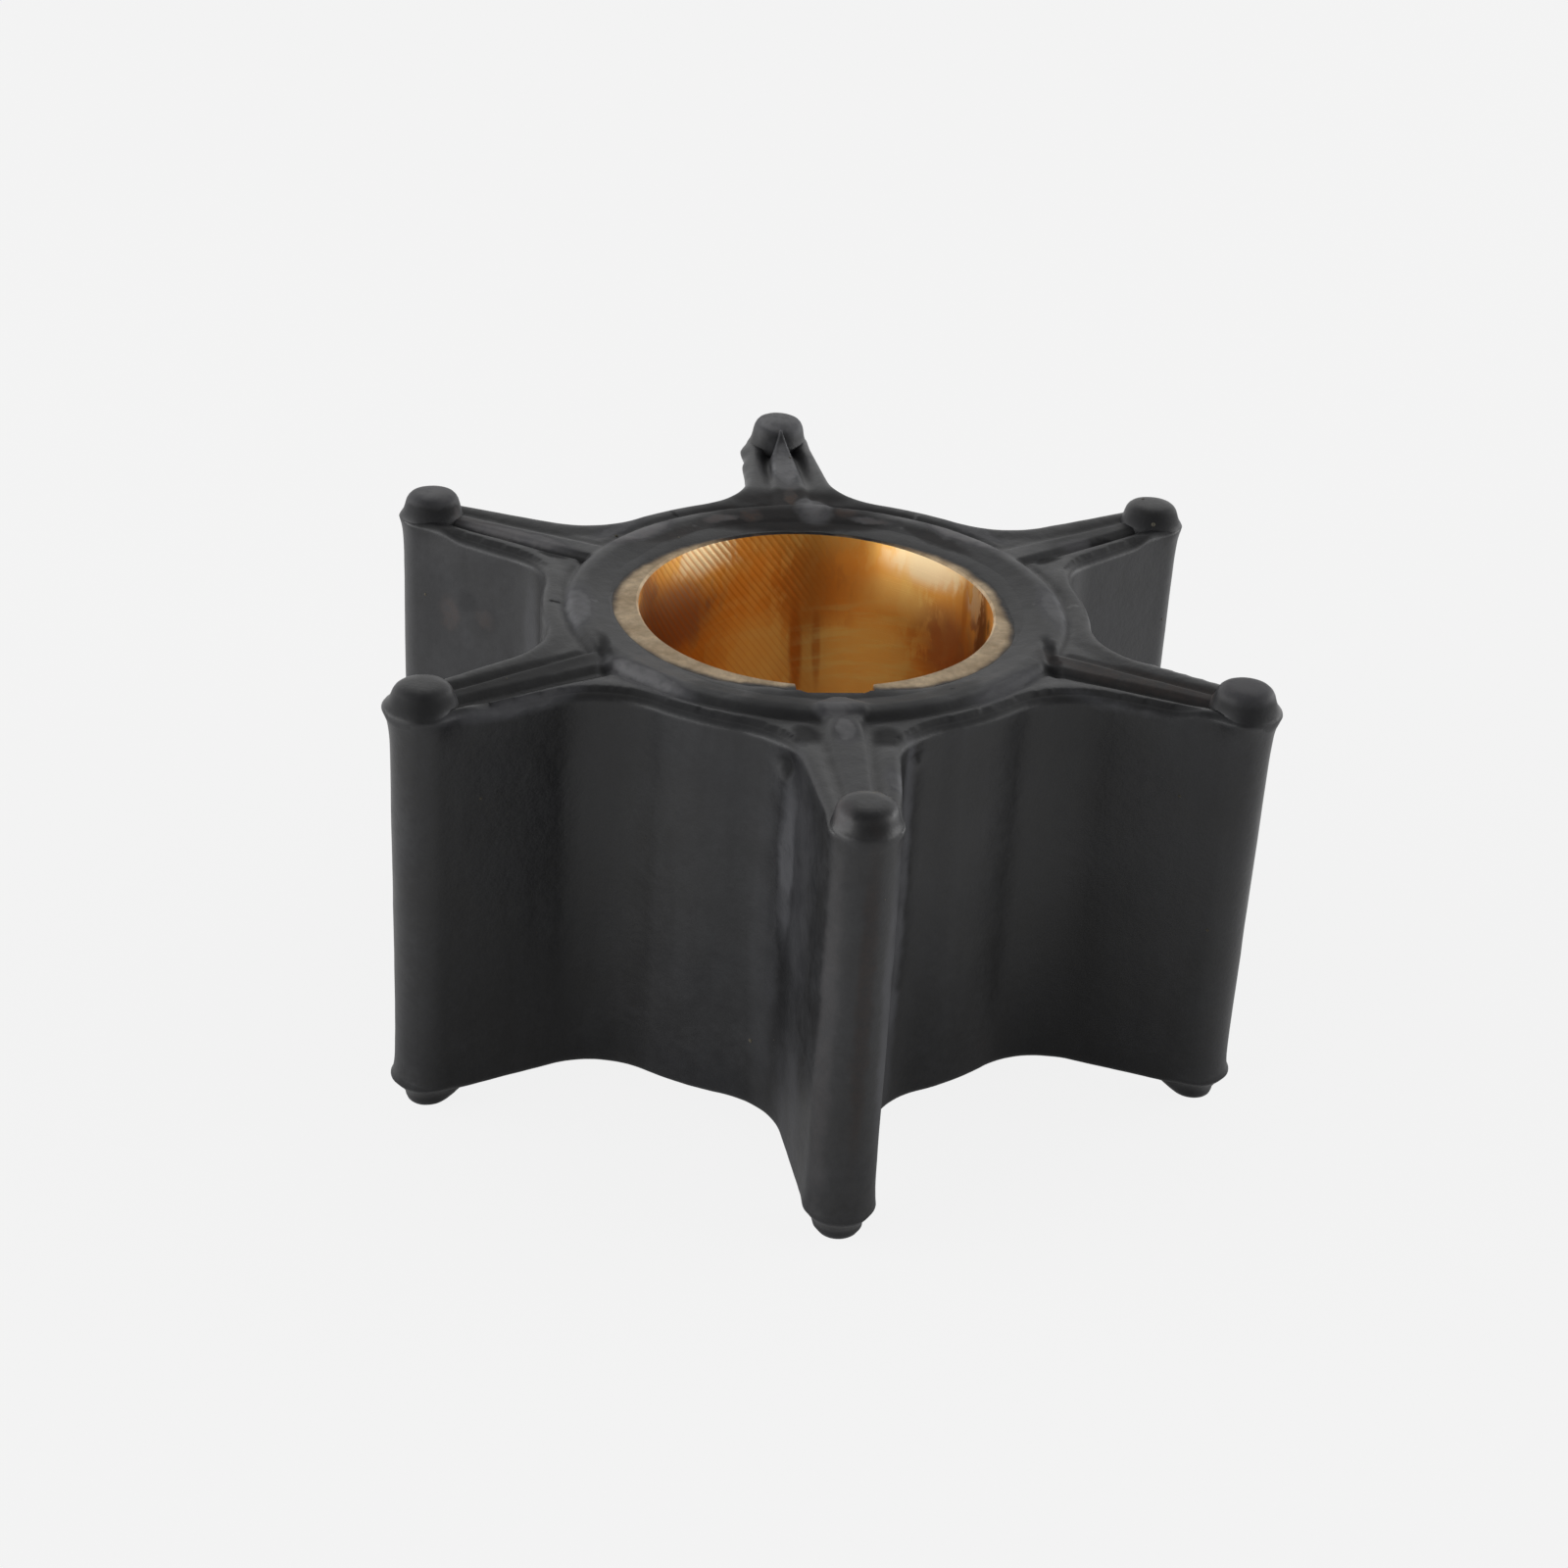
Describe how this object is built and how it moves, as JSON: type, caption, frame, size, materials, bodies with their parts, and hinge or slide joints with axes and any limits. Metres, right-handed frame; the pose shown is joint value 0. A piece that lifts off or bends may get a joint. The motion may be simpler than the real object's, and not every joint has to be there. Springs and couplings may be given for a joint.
{
  "type": "rubber pump impeller",
  "caption": "Flexible-vane pump impeller: tapered rubber vanes with tip nubs on a hub moulded round a brass insert with keyway.",
  "frame": {"origin": "centre of the bore, at the middle of its length", "axes": "+Z along the bore; -Y through the keyway and the vane in line with it"},
  "size_m": [0.0444, 0.0508, 0.0244],
  "materials": {
    "rubber": "moulded, semi-matt charcoal black",
    "brass": "machined bore, satin; end faces dull and pale"
  },
  "bodies": {
    "root": {"rubber_body": "rubber", "brass_insert": "brass"}
  },
  "joints": []
}
